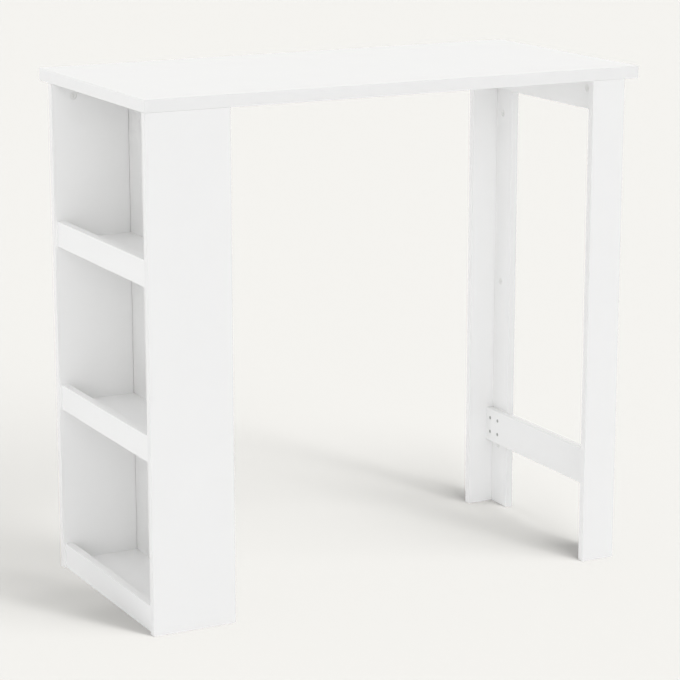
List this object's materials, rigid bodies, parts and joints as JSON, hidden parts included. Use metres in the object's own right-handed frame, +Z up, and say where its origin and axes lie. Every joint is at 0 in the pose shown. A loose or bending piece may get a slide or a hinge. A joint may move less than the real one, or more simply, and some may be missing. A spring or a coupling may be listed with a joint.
{
  "type": "bar table with shelves",
  "caption": "White board bar table: a rectangular top carried by an open shelf tower at one end and a braced frame of L-shaped legs at the other.",
  "frame": {"origin": "centre of the table's box, on the floor", "axes": "+X along the length, towards the leg frame; +Y from the front to the rear; +Z up"},
  "size_m": [1.1, 0.54, 1.05],
  "materials": {
    "white_board": "white melamine-faced particle board, fine satin grain",
    "white_hardboard": "white lacquered thin fibreboard",
    "edge_band": "white plastic edge band, satin",
    "zinc_alloy": "bare die-cast zinc, satin",
    "plated_steel": "zinc-plated steel",
    "screw_steel": "zinc-plated steel, dulled",
    "beech": "raw beech"
  },
  "bodies": {
    "root": {"table_top": "white_board", "tower_front_panel": "white_board", "tower_rear_panel": "white_board", "lower_shelf": "white_board", "middle_shelf": "white_board", "upper_shelf": "white_board", "lower_shelf_rail": "white_board", "middle_shelf_rail": "white_board", "upper_shelf_rail": "white_board", "front_leg_face_board": "white_board", "front_leg_return_board": "white_board", "rear_leg_face_board": "white_board", "rear_leg_return_board": "white_board", "upper_cross_rail": "white_board", "lower_cross_rail": "white_board", "back_panel": "white_hardboard", "table_top_edge_bands": "edge_band", "tower_front_panel_edge_bands": "edge_band", "tower_rear_panel_edge_bands": "edge_band", "lower_shelf_rail_edge_bands": "edge_band", "middle_shelf_rail_edge_bands": "edge_band", "upper_shelf_rail_edge_bands": "edge_band", "front_leg_face_board_edge_bands": "edge_band", "front_leg_return_board_edge_bands": "edge_band", "rear_leg_face_board_edge_bands": "edge_band", "rear_leg_return_board_edge_bands": "edge_band", "upper_cross_rail_edge_bands": "edge_band", "lower_cross_rail_edge_bands": "edge_band", "tower_cam_locks": "zinc_alloy", "shelf_cam_locks": "zinc_alloy", "leg_cam_locks": "zinc_alloy", "upper_rail_cam_locks": "zinc_alloy", "tower_cam_bolts": "plated_steel", "shelf_cam_bolts": "plated_steel", "leg_cam_bolts": "plated_steel", "upper_rail_cam_bolts": "plated_steel", "tower_dowels": "beech", "shelf_dowels": "beech", "shelf_rail_dowels": "beech", "upper_rail_screws": "screw_steel", "lower_rail_screws": "screw_steel"}
  },
  "joints": []
}
